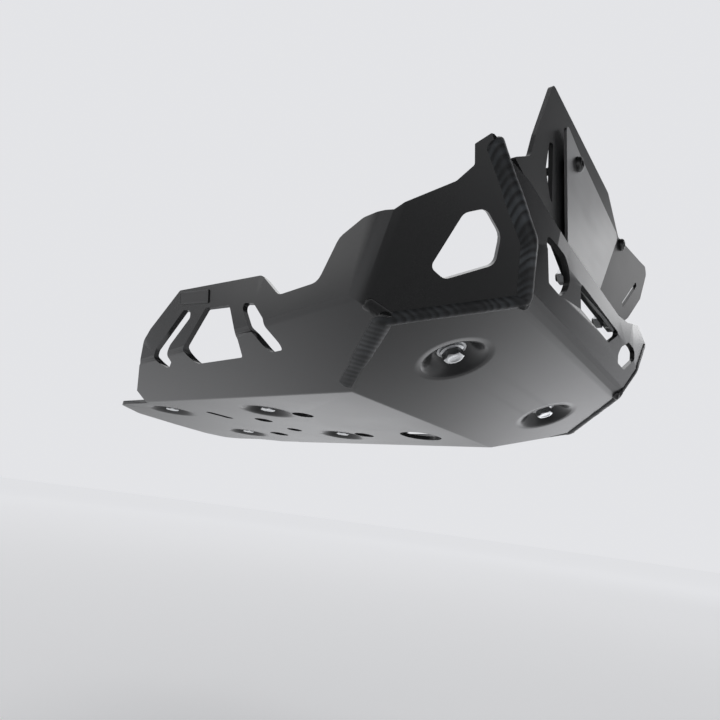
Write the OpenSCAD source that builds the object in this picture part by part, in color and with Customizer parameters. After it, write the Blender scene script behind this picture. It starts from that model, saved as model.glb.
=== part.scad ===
// Skid plate for a motorcycle engine: one folded and welded aluminium sheet that wraps the sump,
// six recessed mounting bolts with their washers and spacer sleeves, and an upper front shield.
// All outlines are taken in the fold frame: X to the motorcycle's left, Y to its rear, Z up, with
// Y = 0 at the fold between bottom and ramp and Z = 0 on the outside of the bottom.

/* [Sheet] */
// Thickness of the folded sheet
sheet = 4; // [3:0.5:5]
// Outside radius of the folds between the bottom and its neighbours
fold_r = 8; // [6:1:12]
// Outside radius of the soft fold between the ramp and the front panel
soft_r = 24; // [12:2:30]

/* [Bottom] */
// Width of the flat bottom between its two side folds
bottom_w = 230; // [220:2:240]
// Distance from the ramp fold to the rear ends of the flanks
flank_end = 278; // [268:2:290]
// Distance from the ramp fold to the rear tip of the tail
tail_end = 411; // [405:2:430]
// Width of the tail behind the flanks
tail_w = 224; // [216:2:226]

/* [Ramp] */
// Slope of the ramp from the bottom
ramp_angle = 22; // [20:0.5:24]
// Distance forward, measured level, from the ramp fold to the front panel
ramp_run = 125; // [120:1:130]
// Distance forward, measured level, from the ramp fold to the ramp's widest corners
corner_run = 63; // [60:1:66]
// Width of the ramp at its widest corners
corner_w = 338; // [332:2:344]
// Width of the ramp where it meets the front panel
ramp_top_w = 227; // [221:2:233]

/* [Front panel] */
// Forward lean of the front panel from upright
panel_lean = 19.5; // [17:0.5:21]
// Forward lean of the lip above it
lip_lean = 4; // [3:0.5:7]
// Height of the fold between the front panel and the lip
lip_z = 87; // [85:0.5:89]
// Height of the lip's top edge
top_z = 102; // [100:0.5:104]
// Height of the lip's end at the right cheek
right_end_z = 113; // [110:0.5:114]
// Height of the raised end at the left cheek
left_end_z = 127; // [122:1:128]

/* [Sides] */
// Height of the side fold at its front end
side_fold_front_z = 34.5; // [33:0.5:36]
// Distance forward, measured level, from the ramp fold to that end
side_fold_front_run = 57; // [53:1:60]
// Height of the side fold at its rear end
side_fold_rear_z = 23.5; // [22:0.5:25]
// Distance back from the ramp fold to that end
side_fold_rear_run = 213; // [208:1:218]
// Width across the tops of the folds between the wings and the cheeks
wing_top_w = 404; // [398:2:410]
// Height of the wings there
wing_top_z = 76.3; // [75:0.1:78]
// Distance forward, measured level, from the ramp fold to the tops of these folds
wing_top_run = 83; // [80:0.5:86]
// Outside radius of the folds between the wings and the cheeks
cheek_fold_r = 18; // [12:2:24]

/* [Welds] */
// Radius of the weld beads beside the ramp's lower part and the front panel
bead_r = 5.5; // [5:0.25:6]
// Radius of the beads between the ramp and the cheeks
thin_bead_r = 4; // [3.5:0.25:4.5]
// Share of a bead's radius by which its middle lies inside the edge that it closes
bead_sink = 0.5; // [0.4:0.05:0.6]
// Share of the flank's seam that stays free of weld at the bottom
bead_start = 0.17; // [0.17:0.01:0.3]

/* [Pressed seats] */
// Radius of a pressed seat at its rim
seat_rim_r = 24; // [22:1:26]
// Radius of the flat floor of a seat
seat_floor_r = 12; // [11:0.5:13]
// Depth of a seat
seat_depth = 10; // [9:0.5:11]
// Distance between the two ramp bolts
ramp_bolt_gap = 178; // [170:2:184]
// Distance forward, measured level, from the ramp fold to the ramp bolts
ramp_bolt_run = 66; // [60:1:70]

/* [Bolts] */
// Nominal diameter of the mounting bolts
bolt_d = 8; // [8:1:10]
// Radial clearance of a bolt in the sheet and in its sleeve
bolt_clearance = 0.5; // [0.3:0.1:0.8]
// Width across the flats of the bolt heads
head_af = 13; // [12:1:15]
// Height of a bolt head over its flange
head_h = 6; // [5:0.5:6.5]
// Diameter of the flange under a bolt head
flange_d = 17.5; // [16.5:0.5:18.5]
// Thickness of the flange
flange_h = 1.5; // [1.2:0.1:2]
// Length of thread that stands free above a sleeve
thread_len = 16; // [12:1:24]
// Length of the groove that ends the thread above a sleeve
thread_relief = 2.5; // [2:0.5:4]
// Thickness of the washers
washer_t = 1.6; // [1.2:0.1:2]
// Outside diameter of the washers
washer_d = 21; // [20:0.5:22]
// Length of the spacer sleeves
spacer_len = 18; // [14:1:26]
// Outside diameter of the spacer sleeves
spacer_d = 18; // [16:1:22]

/* [Upper shield] */
// Thickness of the bare face plate
face_t = 2; // [1.5:0.5:3]
// Thickness of the coated carrier plate
carrier_t = 3; // [2:0.5:4]
// Gap between face plate and carrier
carrier_gap = 2; // [1.5:0.5:3]
// Height of the face plate's top edge
face_top_z = 181; // [176:1:184]
// Height of the carrier's top edge
carrier_top_z = 203; // [198:1:206]
// Diameter of the shield's screws and studs
screw_d = 6; // [5:1:6]
// Radial clearance of a screw or stud in the plates
screw_clearance = 0.3; // [0.2:0.1:0.5]
// Height of the studs on the back of the lip
stud_z = 95; // [94.5:0.5:96]
// Width across the flats of the stud nuts
nut_af = 10; // [9:1:10]
// Height of the stud nuts
nut_h = 5; // [4.5:0.5:6]

/* [Hidden] */
$fn = 48;

// Facets on the length of each fold
fold_steps = 3;
// Half the size of the blocks that stand for endless half spaces
reach = 700;
// How far a cutting shape runs past what it cuts
past = 30;
coated = [0.33, 0.33, 0.35];
bare = [0.78, 0.79, 0.80];
zinc = [0.80, 0.81, 0.80];
steel = [0.62, 0.63, 0.64];

// Vector and plane helpers. A plane is [outward unit normal, distance from the origin].
function unit(v) = v / norm(v);
function flip(p) = [[-p[0][0], p[0][1], p[0][2]], p[1]];
function plane_at(n, p) = [n, n * p];
function plane_through(a, b, c, outside) =
  let (n = unit(cross(b - a, c - a)))
  plane_at(n * outside > 0 ? n : -n, a);
function meet(a, b, c) =
  (cross(b[0], c[0]) * a[1] + cross(c[0], a[0]) * b[1] + cross(a[0], b[0]) * c[1])
    / (a[0] * cross(b[0], c[0]));

// A fold of radius r between planes a and b, at an edge point, as planes that touch its arc.
function fold(a, b, edge, r, steps = fold_steps) =
  let (turn = acos(a[0] * b[0]), middle = edge - r * (a[0] + b[0]) / (1 + a[0] * b[0]))
  [for (k = [1 : steps])
    let (t = k / (steps + 1), n = (sin((1 - t) * turn) * a[0] + sin(t * turn) * b[0]) / sin(turn))
    [n, n * middle + r]];

// An outline of [u, v, corner radius] points with its corners rounded by arcs.
function corner(p, q, s) =
  let (
    at = [q[0], q[1]],
    back = unit([p[0], p[1]] - at),
    ahead = unit([s[0], s[1]] - at),
    half = acos(back * ahead) / 2,
    middle = at + unit(back + ahead) * q[2] / sin(half),
    first = at + back * q[2] / tan(half) - middle,
    last = at + ahead * q[2] / tan(half) - middle,
    start = atan2(first[1], first[0]),
    swing = atan2(first[0] * last[1] - first[1] * last[0], first * last),
    steps = max(2, ceil(abs(swing) / 18))
  )
  q[2] == 0
    ? [at]
    : [for (k = [0 : steps]) let (t = start + swing * k / steps) middle + q[2] * [cos(t), sin(t)]];
function rounded(points) =
  let (n = len(points))
  [for (i = [0 : n - 1]) each corner(points[(i + n - 1) % n], points[i], points[(i + 1) % n])];

// Heights and planes of the folded body
ramp_top_z = ramp_run * tan(ramp_angle);
function panel_y(z) = -ramp_run - (z - ramp_top_z) * tan(panel_lean);
bottom_plane = [[0, 0, -1], 0];
ramp_plane = [[0, -sin(ramp_angle), -cos(ramp_angle)], 0];
panel_plane = plane_at([0, -cos(panel_lean), -sin(panel_lean)], [0, -ramp_run, ramp_top_z]);
lip_plane = plane_at([0, -cos(lip_lean), -sin(lip_lean)], [0, panel_y(lip_z), lip_z]);
bottom_corner = [bottom_w / 2, 0, 0];
ramp_corner = [corner_w / 2, -corner_run, corner_run * tan(ramp_angle)];
ramp_end = [ramp_top_w / 2, -ramp_run, ramp_top_z];
flank_plane = plane_through(bottom_corner, bottom_corner + [0, 100, 0], ramp_corner, [1, 0, -1]);
flank_rise = ramp_corner[2] / (ramp_corner[0] - bottom_corner[0]);
wing_corner = [wing_top_w / 2, -wing_top_run, wing_top_z];
function side_fold_at(y, z) = [bottom_w / 2 + z / flank_rise, y, z];
side_fold_front = side_fold_at(-side_fold_front_run, side_fold_front_z);
side_fold_rear = side_fold_at(side_fold_rear_run, side_fold_rear_z);
wing_plane = plane_through(side_fold_front, side_fold_rear, wing_corner, [1, 0, 0]);
cheek_plane = plane_through(ramp_corner, ramp_end, wing_corner, [1, -1, 0]);
// The ends of the lip turn back a little beyond a slanting crease
ear_low = [102, panel_y(lip_z), lip_z];
ear_out = [132, panel_y(lip_z - 9), lip_z - 9];
ear_back = [167, panel_y(lip_z) + 4.9, lip_z + 21];
ear_plane = plane_through(ear_low, ear_out, ear_back, [0, -1, 0]);
side_planes = concat(
  [flank_plane, wing_plane, cheek_plane, ear_plane],
  fold(bottom_plane, flank_plane, bottom_corner, fold_r),
  fold(flank_plane, wing_plane, side_fold_rear, fold_r),
  fold(wing_plane, cheek_plane, wing_corner, cheek_fold_r)
);
body_planes = concat(
  [bottom_plane, ramp_plane, panel_plane, lip_plane],
  fold(bottom_plane, ramp_plane, [0, 0, 0], fold_r),
  fold(ramp_plane, panel_plane, [0, -ramp_run, ramp_top_z], soft_r),
  side_planes,
  [for (p = side_planes) flip(p)]
);

// Seams that are welded: flank to ramp, cheek to ramp, cheek to front panel and lip
seam_kink = meet(panel_plane, ear_plane, cheek_plane);
function seam_at(z) = meet(ear_plane, cheek_plane, [[0, 0, 1], z]);
seam_end = meet(ramp_plane, panel_plane, cheek_plane);
seam_corner = meet(ramp_plane, flank_plane, cheek_plane);

// Bolt places: [x, y, on the ramp]
ramp_y = -ramp_bolt_run;
bolt_places = [
  [-ramp_bolt_gap / 2, ramp_y, true], [ramp_bolt_gap / 2, ramp_y, true],
  [-64, 146, false], [57, 153, false],
  [-77, 289, false], [48, 307, false]
];
bolt_hole_r = bolt_d / 2 + bolt_clearance;
// The groove at the thread's end goes down to the thread's root
relief_d = 0.8 * bolt_d;

// Upper shield, in the lip's own slope: outlines are [across, up the slope, corner radius]
function up(z) = (z - lip_z) / cos(lip_lean);
carrier_front = -sheet - face_t - carrier_gap;
stud_end = carrier_front - carrier_t - nut_h - 2;
screw_hole_r = screw_d / 2 + screw_clearance;
right_screw = [-68, up(172)];
left_screw = [69, up(179)];
studs = [[-50, up(stud_z)], [40, up(stud_z)]];
face_outline = [
  [-97, up(face_top_z + 5), 4], [-62, up(face_top_z), 3], [38, up(face_top_z - 7), 2],
  [42, up(face_top_z - 11), 3],
  [-4, up(lip_z + 5), 4], [-68, up(lip_z + 5), 4]
];
carrier_outline = [
  [-60, up(lip_z + 5), 5], [60, up(lip_z + 5), 5], [112, up(125), 3], [154, up(161), 5], [174, up(197), 4],
  [167, up(carrier_top_z), 3], [144, up(198), 4], [60, up(182), 4], [20, up(carrier_top_z), 6],
  [-116, up(carrier_top_z), 6], [-133, up(152), 6], [-137, up(134), 8], [-157, up(120), 1],
  [-128, up(115), 3],
  [-100, up(107), 4]
];
right_carrier_slot = [
  [-112, up(161), 2], [-106, up(164), 1], [-97, up(125), 1], [-102, up(127), 2], [-113, up(141), 3]
];
left_carrier_slot = [[86, up(129), 2], [91, up(127), 2], [137, up(168), 2], [132, up(170), 2]];

// The part stands with its origin under the middle of its outline. The right shield screw is foremost.
screw_head_r = 0.9 * screw_d;
screw_head_h = 0.55 * screw_d;
shield_front_y =
  panel_y(lip_z) - (right_screw[1] + screw_head_r) * sin(lip_lean) + (sheet - screw_head_h) * cos(lip_lean);
centre_y = (tail_end + shield_front_y) / 2;
module in_place() {
  translate([0, -centre_y, 0]) children();
}

// All the space inside a plane moved inwards by inset
module half_space(p, inset) {
  n = p[0];
  rotate([0, acos(n[2]), atan2(n[1], n[0])])
    translate([-reach, -reach, p[1] - inset - 2 * reach])
      cube(2 * reach);
}

// The space that the folded body wraps, inset by a thickness
module tub(inset) {
  intersection() {
    translate([-reach, -reach, -reach]) cube([2 * reach, reach + tail_end + past, reach + 4 * top_z]);
    intersection_for (p = body_planes) half_space(p, inset);
  }
}

// A side view outline of the flank, wing and cheek with its ear, as [y, z, corner radius]
ear_top = right_end_z + 4;
side_outline = [
  [flank_end, -past, 0],
  [flank_end, 0, 0],
  [270, 8, 0],
  [214, side_fold_rear_z, 6],
  [205, 42, 10],
  [192, 50, 8],
  [139, 73.5, 5],
  [29, 63.5, 8],
  [12.5, 47.5, 8],
  [-25, 48.5, 12],
  [-45, 70, 12],
  [-64.5, 76, 10],
  [-84, 76.5, 0],
  [-112, 94.5, 8],
  [-121, 103, 3],
  [-123.5, ear_top - 6, 1],
  [-131, ear_top, 1],
  [-190, ear_top, 0],
  [-190, -past, 0]
];
// What the left cheek's taller ear adds to it
left_ear = [
  [-112, 80, 0], [-121, 103, 0], [-123.5, left_end_z - 6, 1], [-131, left_end_z, 1],
  [-190, left_end_z, 0], [-190, 80, 0]
];

// Slots in each side, as seen from the side
rear_slot = [
  [134, 57, 3], [123, 55, 3], [124.5, 49.5, 4], [157.5, 32.5, 5], [168.5, 21.5, 4], [179, 19, 4],
  [192, 20, 5], [182.5, 32, 6]
];
middle_slot = [[101, 53.5, 3], [69, 50.5, 4], [63, 29, 5], [77.5, 19.5, 6], [140.5, 19, 4.5], [138, 27, 4]];
front_slot = [
  [52, 49, 3], [40, 47, 4], [30, 35, 4], [29.5, 20.5, 4], [46.5, 20, 4], [46, 30, 3], [52.5, 44.5, 4]
];

// Slots in the front panel, as seen from the front
outer_front_slot = [
  [75, 69.5, 4], [96, 69.5, 4], [115, 85, 3], [115, 92, 3], [86, 91.5, 5], [69, 82, 5], [68, 75, 4]
];
middle_front_slot = [[-37, 75, 3], [37, 75, 3], [54, 88, 2], [-54, 88, 2]];

// Holes in the bottom: [x, y, diameter, how much longer than wide]
bottom_holes = [
  [-46, 116, 20, 1], [-25, 195, 17, 3], [27, 200, 16, 2], [54, 254, 20, 4], [54, 119, 19, 4], [56, 48, 40, 4],
  [-51, 237, 9, 25]
];

// Keeps the bottom's tail behind the flanks, as seen from below
tail_outline = [
  [-tail_w / 2, flank_end - past, 0], [-tail_w / 2, 336, 12], [-70, 372, 20], [0, tail_end - 15, 0],
  [57, tail_end, 20], [88, tail_end - 4, 8], [97, 384, 10], [98, 338, 20], [tail_w / 2, 308, 12],
  [tail_w / 2, flank_end - past, 0]
];

// A pressed seat as the space under its surface, at the thickness inset
module pressed_seat(inset) {
  steps = 8;
  // The rim starts this far inside the sheet's face, so that the curve leaves the face at a small angle
  seat_lip = 0.05;
  rotate_extrude($fn = 72)
    polygon(concat(
      [[0, -past], [seat_rim_r, -past]],
      [for (k = [0 : steps])
        let (t = k / steps)
        [
          seat_rim_r - t * (seat_rim_r - seat_floor_r),
          inset + seat_lip + (seat_depth - seat_lip) * (1 - cos(180 * t)) / 2
        ]],
      [[0, inset + seat_depth]]
    ));
}

// Puts a piece at bolt i with its own Z along the bolt, starting on the outside of the sheet
module at_bolt(i) {
  b = bolt_places[i];
  translate([b[0], b[1], b[2] ? -b[1] * tan(ramp_angle) : 0])
    rotate([b[2] ? -ramp_angle : 0, 0, 0])
      children();
}

// The body's space with the seats pressed into it
module pressed_tub(inset) {
  difference() {
    tub(inset);
    for (i = [0 : len(bolt_places) - 1]) at_bolt(i) pressed_seat(inset);
  }
}

// A round bar between two points
module bar(a, b, r) {
  d = b - a;
  translate(a)
    rotate([0, acos(d[2] / norm(d)), atan2(d[1], d[0])])
      cylinder(h = norm(d), r = r, $fn = 24);
}

// One weld bead along a run of seam points, sunk towards the inside of the body
module bead(points, inward, r) {
  sunk = [for (p = points) p + bead_sink * r * inward];
  for (i = [0 : len(sunk) - 2]) bar(sunk[i], sunk[i + 1], r);
  for (p = sunk) translate(p) sphere(r = r, $fn = 24);
}

// The welds of one side, up to a height
module beads(top) {
  low = bottom_corner + bead_start * (seam_corner - bottom_corner);
  bead([low, seam_corner], unit(-flank_plane[0] - ramp_plane[0]), bead_r);
  bead([seam_corner, seam_end], unit(-cheek_plane[0] - ramp_plane[0]), thin_bead_r);
  bead([seam_end, seam_kink, seam_at(top)], unit(-cheek_plane[0] - panel_plane[0]), bead_r);
}

// A prism along X from an outline in side view, from one place to the left
module side_prism(points, from = -reach) {
  translate([from, 0, 0]) rotate([90, 0, 90]) linear_extrude(reach - from) polygon(points);
}

// A prism along Y from an outline in front view, between two places
module front_prism(points, from, to) {
  translate([0, to, 0]) rotate([90, 0, 0]) linear_extrude(to - from) polygon(points);
}

// The space above the lip's top edge, between the sheets of the two cheeks
module above_lip() {
  intersection() {
    front_prism(
      rounded([
        [-220, right_end_z + past, 0], [-210, right_end_z - 1, 0], [-171, right_end_z - 4, 3],
        [-163, right_end_z, 6], [-142, right_end_z, 12], [-100, top_z + 1, 12], [-80, top_z, 0],
        [48, top_z, 12], [79, top_z + 5, 20],
        [132, left_end_z - 3, 12], [200, left_end_z, 0], [230, left_end_z + past, 0]
      ]),
      -200, -100
    );
    half_space(cheek_plane, sheet);
    half_space(flip(cheek_plane), sheet);
  }
}

// The window in each cheek, cut square through it. Points are [x, y, z] on the cheek.
module cheek_window() {
  n = cheek_plane[0];
  tilt = acos(n[2]);
  turn = atan2(n[1], n[0]);
  u = [cos(turn) * cos(tilt), sin(turn) * cos(tilt), -sin(tilt)];
  v = [-sin(turn), cos(turn), 0];
  window = [
    [[163.5, 87], 6], [[148.5, 77.5], 10], [[141, 64], 6],
    [[157.5, 51.5], 6], [[167.5, 55.5], 4], [[171, 82.5], 6]
  ];
  rotate([0, tilt, turn])
    translate([0, 0, cheek_plane[1] - sheet - 3])
      linear_extrude(sheet + 6)
        polygon(rounded([
          for (w = window)
            let (x = w[0][0], z = w[0][1], y = (cheek_plane[1] - n[0] * x - n[2] * z) / n[1], p = [x, y, z])
            [p * u, p * v, w[1]]
        ]));
}

// A slot through the bottom with round ends
module bottom_hole(h) {
  translate([h[0], h[1], -past]) {
    cylinder(h = 2 * past, d = h[2]);
    translate([-h[3] / 2, 0, 0]) cylinder(h = 2 * past, d = h[2]);
    translate([h[3] / 2, 0, 0]) cylinder(h = 2 * past, d = h[2]);
    translate([-h[3] / 2, -h[2] / 2, 0]) cube([h[3], h[2], 2 * past]);
  }
}

// The body's space, trimmed to its outlines but not yet hollowed
module trimmed() {
  difference() {
    intersection() {
      pressed_tub(0);
      union() {
        side_prism(rounded(side_outline));
        side_prism(rounded(left_ear), ear_low[0]);
        translate([0, 0, -past]) linear_extrude(past + seat_depth + sheet + 1) polygon(rounded(tail_outline));
      }
    }
    above_lip();
  }
}

module skid_plate() {
  color(coated) {
    difference() {
      union() {
        trimmed();
        beads(left_end_z - 9);
        mirror([1, 0, 0]) beads(right_end_z - 5);
      }
      pressed_tub(sheet);
      for (s = [rear_slot, middle_slot, front_slot]) side_prism(rounded(s));
      for (side = [0, 1]) mirror([side, 0, 0]) {
        front_prism(rounded(outer_front_slot), -200, -110);
        cheek_window();
      }
      front_prism(rounded(middle_front_slot), -200, -110);
      for (h = bottom_holes) bottom_hole(h);
      for (i = [0 : len(bolt_places) - 1]) at_bolt(i) cylinder(h = 4 * seat_depth, r = bolt_hole_r);
    }
    on_lip()
      for (p = studs) translate([p[0], p[1], stud_end])
        cylinder(h = -stud_end - sheet + 0.5, d = screw_d);
  }
}

// A flanged hexagon bolt whose shank runs up through washer, sheet and sleeve
module bolt(i) {
  under_head = seat_depth - washer_t;
  plain_len = washer_t + sheet + spacer_len;
  color(zinc)
    at_bolt(i) {
      translate([0, 0, under_head - flange_h]) cylinder(h = flange_h, d = flange_d);
      translate([0, 0, under_head - flange_h - head_h])
        cylinder(h = head_h + 0.01, d = head_af / cos(30), $fn = 6);
      translate([0, 0, under_head - 0.01]) cylinder(h = plain_len + 0.01, d = bolt_d);
      translate([0, 0, under_head + plain_len - 0.01]) cylinder(h = thread_relief + 0.02, d = relief_d);
      translate([0, 0, under_head + plain_len + thread_relief])
        cylinder(h = thread_len - thread_relief, d = bolt_d);
    }
}

module ring(d, bore, h) {
  difference() {
    cylinder(h = h, d = d);
    translate([0, 0, -1]) cylinder(h = h + 2, d = bore);
  }
}

module washer(i) {
  color(steel) at_bolt(i) translate([0, 0, seat_depth - washer_t]) ring(washer_d, 2 * bolt_hole_r, washer_t);
}

// A sleeve that carries the sheet at its distance from the engine
module spacer(i) {
  color(steel) at_bolt(i) translate([0, 0, seat_depth + sheet]) ring(spacer_d, 2 * bolt_hole_r, spacer_len);
}

// Upper shield. Its plates lie parallel to the lip: Z forward, X across, Y up along the lip.
module on_lip() {
  translate([0, panel_y(lip_z), lip_z]) rotate([90 + lip_lean, 0, 0]) children();
}

module screw_holes(points) {
  for (p = points) translate([p[0], p[1], -past]) cylinder(h = 2 * past, r = screw_hole_r);
}

module shield_face() {
  color(bare)
    on_lip() difference() {
      translate([0, 0, -sheet - face_t]) linear_extrude(face_t) polygon(rounded(face_outline));
      screw_holes([right_screw, studs[0]]);
    }
}

module shield_carrier() {
  color(coated)
    on_lip() difference() {
      translate([0, 0, carrier_front - carrier_t])
        linear_extrude(carrier_t) polygon(rounded(carrier_outline));
      for (slot = [right_carrier_slot, left_carrier_slot])
        translate([0, 0, -past]) linear_extrude(2 * past) polygon(rounded(slot));
      screw_holes(concat([right_screw, left_screw], studs));
    }
}

// A socket screw with a low round head that clamps the plates
module shield_screw(p, seat, length) {
  color(steel)
    on_lip() translate([p[0], p[1], 0]) difference() {
      union() {
        translate([0, 0, seat]) cylinder(h = screw_head_h, r = screw_head_r);
        translate([0, 0, seat - length]) cylinder(h = length + 0.01, d = screw_d);
      }
      translate([0, 0, seat + 0.35 * screw_head_h]) cylinder(h = screw_d, d = 0.75 * screw_d, $fn = 6);
    }
}

// A ring that keeps the carrier at its distance
module shield_ring(p, h) {
  color(steel)
    on_lip() translate([p[0], p[1], carrier_front]) ring(2 * screw_d, 2 * screw_hole_r, h);
}

// A hexagon nut on a stud, behind the carrier
module shield_nut(p) {
  color(zinc)
    on_lip() translate([p[0], p[1], carrier_front - carrier_t - nut_h]) difference() {
      cylinder(h = nut_h, d = nut_af / cos(30), $fn = 6);
      translate([0, 0, -1]) cylinder(h = nut_h + 2, d = screw_d);
    }
}

in_place() skid_plate();
in_place() bolt(0);  // ramp_bolt_right
in_place() bolt(1);  // ramp_bolt_left
in_place() bolt(2);  // middle_bolt_right
in_place() bolt(3);  // middle_bolt_left
in_place() bolt(4);  // rear_bolt_right
in_place() bolt(5);  // rear_bolt_left
in_place() washer(0);  // ramp_washer_right
in_place() washer(1);  // ramp_washer_left
in_place() washer(2);  // middle_washer_right
in_place() washer(3);  // middle_washer_left
in_place() washer(4);  // rear_washer_right
in_place() washer(5);  // rear_washer_left
in_place() spacer(0);  // ramp_spacer_right
in_place() spacer(1);  // ramp_spacer_left
in_place() spacer(2);  // middle_spacer_right
in_place() spacer(3);  // middle_spacer_left
in_place() spacer(4);  // rear_spacer_right
in_place() spacer(5);  // rear_spacer_left
in_place() shield_face();
in_place() shield_carrier();
in_place() shield_screw(right_screw, -sheet, 26);  // shield_screw_right
in_place() shield_screw(left_screw, carrier_front, 20);  // shield_screw_left
in_place() shield_ring(right_screw, carrier_gap);
in_place() shield_ring(studs[0], carrier_gap);  // shield_foot_ring_right
in_place() shield_ring(studs[1], face_t + carrier_gap);  // shield_foot_ring_left
in_place() shield_nut(studs[0]);  // shield_nut_right
in_place() shield_nut(studs[1]);  // shield_nut_left
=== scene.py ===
"""Looks of a motorcycle skid plate: a folded, welded and coated aluminium guard on its bolts.

Lengths are in millimetres in the fold frame: X to the bike's left, Y to its rear, Z up, with the origin
in the middle of the crease between bottom and ramp. `placed` carries such points to the part's frame, in
metres.
"""

import logging
import math
from dataclasses import dataclass, field
from enum import Enum
from typing import Any, Sequence

import bmesh
import bpy
import numpy as np
from mathutils import Matrix, Vector


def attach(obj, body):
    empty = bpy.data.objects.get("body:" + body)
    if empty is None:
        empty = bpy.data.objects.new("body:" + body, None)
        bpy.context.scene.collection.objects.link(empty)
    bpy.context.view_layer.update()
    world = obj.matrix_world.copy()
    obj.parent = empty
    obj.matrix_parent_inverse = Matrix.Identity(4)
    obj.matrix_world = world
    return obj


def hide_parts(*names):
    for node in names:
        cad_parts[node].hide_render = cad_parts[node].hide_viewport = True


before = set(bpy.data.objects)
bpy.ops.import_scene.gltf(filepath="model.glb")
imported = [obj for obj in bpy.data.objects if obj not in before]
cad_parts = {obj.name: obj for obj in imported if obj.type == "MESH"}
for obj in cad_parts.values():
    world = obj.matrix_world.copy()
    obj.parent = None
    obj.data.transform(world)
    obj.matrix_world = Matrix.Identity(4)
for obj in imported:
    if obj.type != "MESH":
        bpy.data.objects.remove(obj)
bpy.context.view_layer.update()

Triple = tuple[float, float, float]
Colour = tuple[float, float, float, float]
Profile = tuple[tuple[float, float], ...]

LOG = logging.getLogger("skid_plate")
BODY = "root"
MM = 0.001
# Y of the part frame's origin in the fold frame
CENTRE_Y = 133.73
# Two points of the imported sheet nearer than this, in metres, are one
MERGE = 2.0e-6
# A circle or a hexagon that cuts nothing off
NO_LIMIT = 1.0e6
# The point attribute that holds the ripples of a weld bead
RIPPLE = "ripple"
COOL_WHITE = (0.965, 0.972, 1.0, 1.0)
# How far ramp, panel and lip lean, in degrees, and where panel and lip begin
RAMP_ANGLE = 22.0
PANEL_LEAN = 19.5
PANEL_FOOT_Y = -125.0
PANEL_FOOT_Z = 50.5
LIP_LEAN = 4.0
LIP_Z = 87.0
# Where each bolt stands: across, along, and whether on the ramp
BOLT_PLACES = {
    "ramp_right": (-89.0, -66.0, True),
    "ramp_left": (89.0, -66.0, True),
    "middle_right": (-64.0, 146.0, False),
    "middle_left": (57.0, 153.0, False),
    "rear_right": (-77.0, 289.0, False),
    "rear_left": (48.0, 307.0, False),
}


class Slot(Enum):
    """The record's material slots."""

    COATED = "coated_aluminium"
    BARE = "bare_aluminium"
    ZINC = "zinc_steel"
    STEEL = "plain_steel"


class Side(Enum):
    """A side of the bike, with the sign of its X."""

    RIGHT = -1
    LEFT = 1


# Points and meshes


def unit(vector: Sequence[float]) -> np.ndarray:
    """The vector at length one."""
    vector = np.asarray(vector, float)
    return vector / np.linalg.norm(vector)


def placed(points: np.ndarray) -> np.ndarray:
    """Fold-frame points in millimetres as part-frame points in metres."""
    return (np.asarray(points, float) - (0.0, CENTRE_Y, 0.0)) * MM


def plane_normal(a: Triple, b: Triple, c: Triple, outside: Triple) -> np.ndarray:
    """Unit normal of the plane through three points, on the side that `outside` points to."""
    normal = unit(np.cross(np.subtract(b, a), np.subtract(c, a)))
    return normal if normal @ np.asarray(outside, float) > 0 else -normal


def rings(radius: np.ndarray, height: np.ndarray, angle: np.ndarray) -> np.ndarray:
    """Points (r cos a, r sin a, z) round Z: a row for each radius and height, a column for each angle."""
    return np.stack([radius * np.cos(angle), radius * np.sin(angle), height + 0 * angle], axis=-1)


def ring_quads(rows: int, columns: int) -> np.ndarray:
    """Corner numbers of the quads between rings of points.

    Args:
        rows: Number of rings.
        columns: Number of points in a ring.

    Returns:
        An array of shape (faces, 4).
    """
    index = np.arange(rows * columns).reshape(rows, columns)
    following = np.roll(index, -1, axis=1)
    return np.stack([index[:-1], following[:-1], following[1:], index[1:]], axis=-1).reshape(-1, 4)


def surface(name: str, grid: np.ndarray, sharp: float) -> bpy.types.Object:
    """A closed mesh object from rings of points, with a pole in the middle of its first and last ring.

    Args:
        name: The piece's name.
        grid: Fold-frame points of shape (rings, columns, 3), in millimetres.
        sharp: Edges that turn by more than this many degrees are shaded sharp.

    Returns:
        The object, with its faces outward.
    """
    rows, columns = grid.shape[:2]
    points = placed(grid.reshape(-1, 3))
    first = np.arange(columns)
    last = first + (rows - 1) * columns
    poles = rows * columns + np.array([0, 1])
    points = np.vstack([points, points[first].mean(axis=0), points[last].mean(axis=0)])
    quads = ring_quads(rows, columns)
    triangles = np.vstack([
        np.stack([np.roll(first, -1), first, np.full(columns, poles[0])], axis=-1),
        np.stack([last, np.roll(last, -1), np.full(columns, poles[1])], axis=-1),
    ])
    halves = np.vstack([quads[:, [0, 1, 2]], quads[:, [0, 2, 3]], triangles])
    a, b, c = (points[halves[:, i]] - points.mean(axis=0) for i in range(3))
    if np.einsum("ij,ij->i", a, np.cross(b, c)).sum() < 0:
        quads, triangles = quads[:, ::-1], triangles[:, ::-1]
    mesh = bpy.data.meshes.new(name)
    mesh.vertices.add(len(points))
    mesh.vertices.foreach_set("co", points.ravel())
    loops = np.concatenate([quads.ravel(), triangles.ravel()]).astype(np.int32)
    sizes = np.concatenate([np.full(len(quads), 4), np.full(len(triangles), 3)])
    mesh.loops.add(len(loops))
    mesh.loops.foreach_set("vertex_index", loops)
    mesh.polygons.add(len(sizes))
    starts = np.concatenate([[0], np.cumsum(sizes)[:-1]]).astype(np.int32)
    mesh.polygons.foreach_set("loop_start", starts)
    mesh.update(calc_edges=True)
    mesh.validate()
    shade(mesh, sharp)
    piece = bpy.data.objects.new(name, mesh)
    bpy.context.collection.objects.link(piece)
    return piece


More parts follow.
